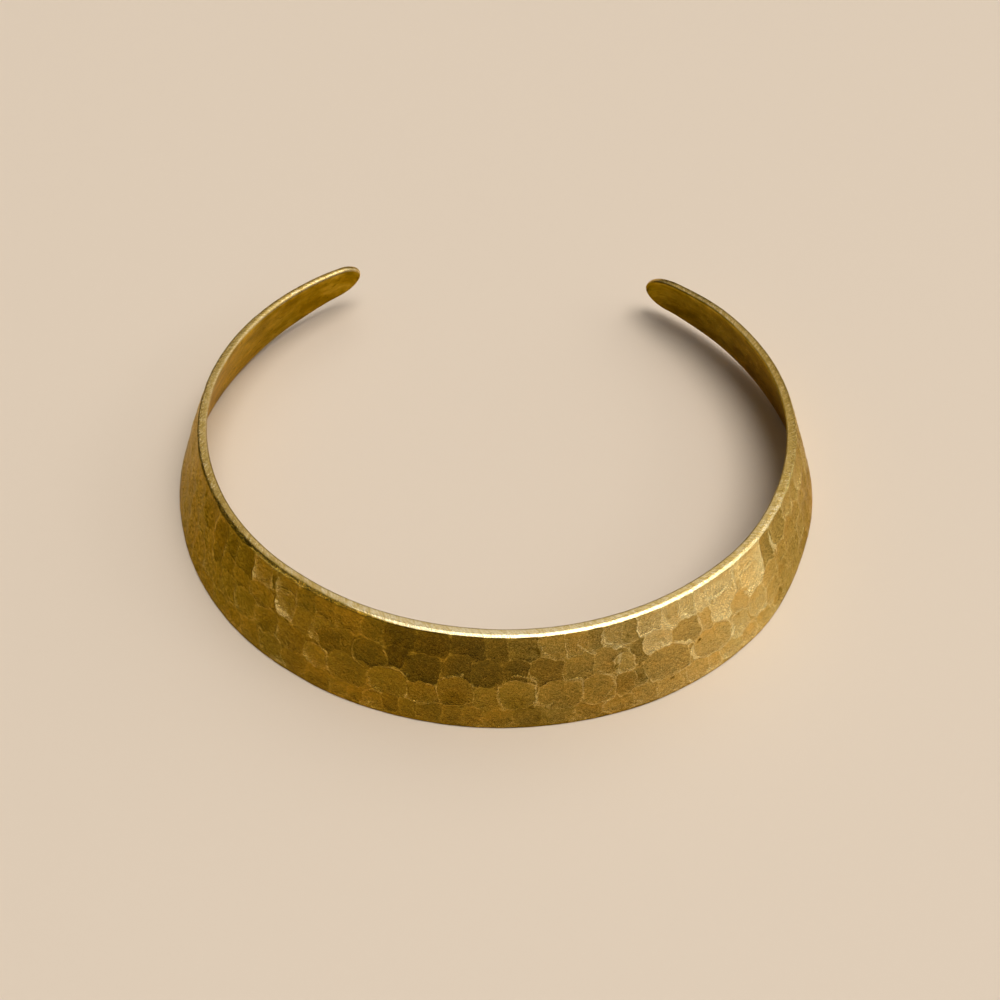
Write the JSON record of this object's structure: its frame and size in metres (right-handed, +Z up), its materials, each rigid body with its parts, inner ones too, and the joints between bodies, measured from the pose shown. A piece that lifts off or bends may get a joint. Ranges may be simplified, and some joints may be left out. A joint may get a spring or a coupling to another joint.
{
  "type": "collar necklace",
  "caption": "Rigid open collar necklace: one tapered brass band, flared outwards, with a planished outside, a filed flat rim and two rounded tips at the back, worn round the neck.",
  "frame": {"origin": "middle of the footprint on the surface that the collar lies on", "axes": "+Z up out of the neck opening, -Y towards the front of the neck, where the band is highest, +Y towards the gap between the tips"},
  "size_m": [0.143, 0.1291, 0.0198],
  "materials": {
    "brass": "planished and satin, with a brown patina and a bright filed rim"
  },
  "bodies": {
    "root": {"collar_band": "brass"}
  },
  "joints": []
}
